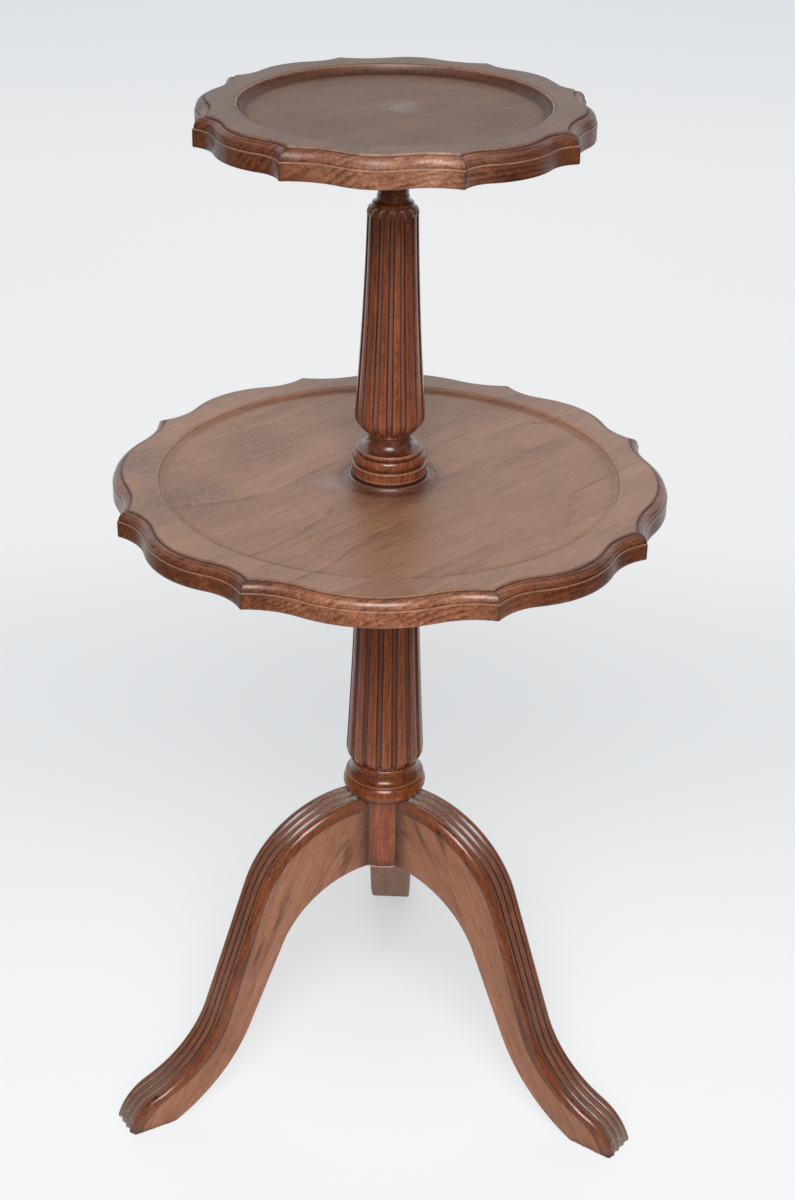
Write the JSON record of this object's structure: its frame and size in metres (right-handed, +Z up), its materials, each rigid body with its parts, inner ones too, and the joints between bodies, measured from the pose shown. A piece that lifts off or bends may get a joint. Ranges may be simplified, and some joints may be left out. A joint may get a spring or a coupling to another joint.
{
  "type": "tiered side table",
  "caption": "Two-tier side table: scalloped pie-crust trays with moulded edges on a fluted turned column, standing on a tripod of reeded sabre legs.",
  "frame": {"origin": "on the floor, on the axis of the column", "axes": "+Z up along the column, -Y towards the front between the two front legs, +X to the right seen from the front"},
  "size_m": [0.4757, 0.5051, 0.915],
  "materials": {
    "mahogany_tray": "worn polish, greyish brown on top",
    "mahogany_turned": "polished red-brown",
    "mahogany_leg": "polished, lighter on the sides",
    "mahogany_hidden": "unpolished",
    "plate_iron": "dark, dull",
    "screw_steel": "dulled",
    "felt": "felt"
  },
  "bodies": {
    "root": {"lower_tray": "mahogany_tray", "upper_tray": "mahogany_tray", "lower_bearer_block": "mahogany_hidden", "upper_bearer_block": "mahogany_hidden", "lower_bearer_screws": "screw_steel", "upper_bearer_screws": "screw_steel", "upper_tenon_wedge": "mahogany_hidden", "upper_column": "mahogany_turned", "lower_column": "mahogany_turned", "tripod_plate": "plate_iron", "tripod_plate_screws": "screw_steel", "front_left_leg": "mahogany_leg", "front_right_leg": "mahogany_leg", "rear_leg": "mahogany_leg", "front_left_foot_pad": "felt", "front_right_foot_pad": "felt", "rear_foot_pad": "felt"}
  },
  "joints": []
}
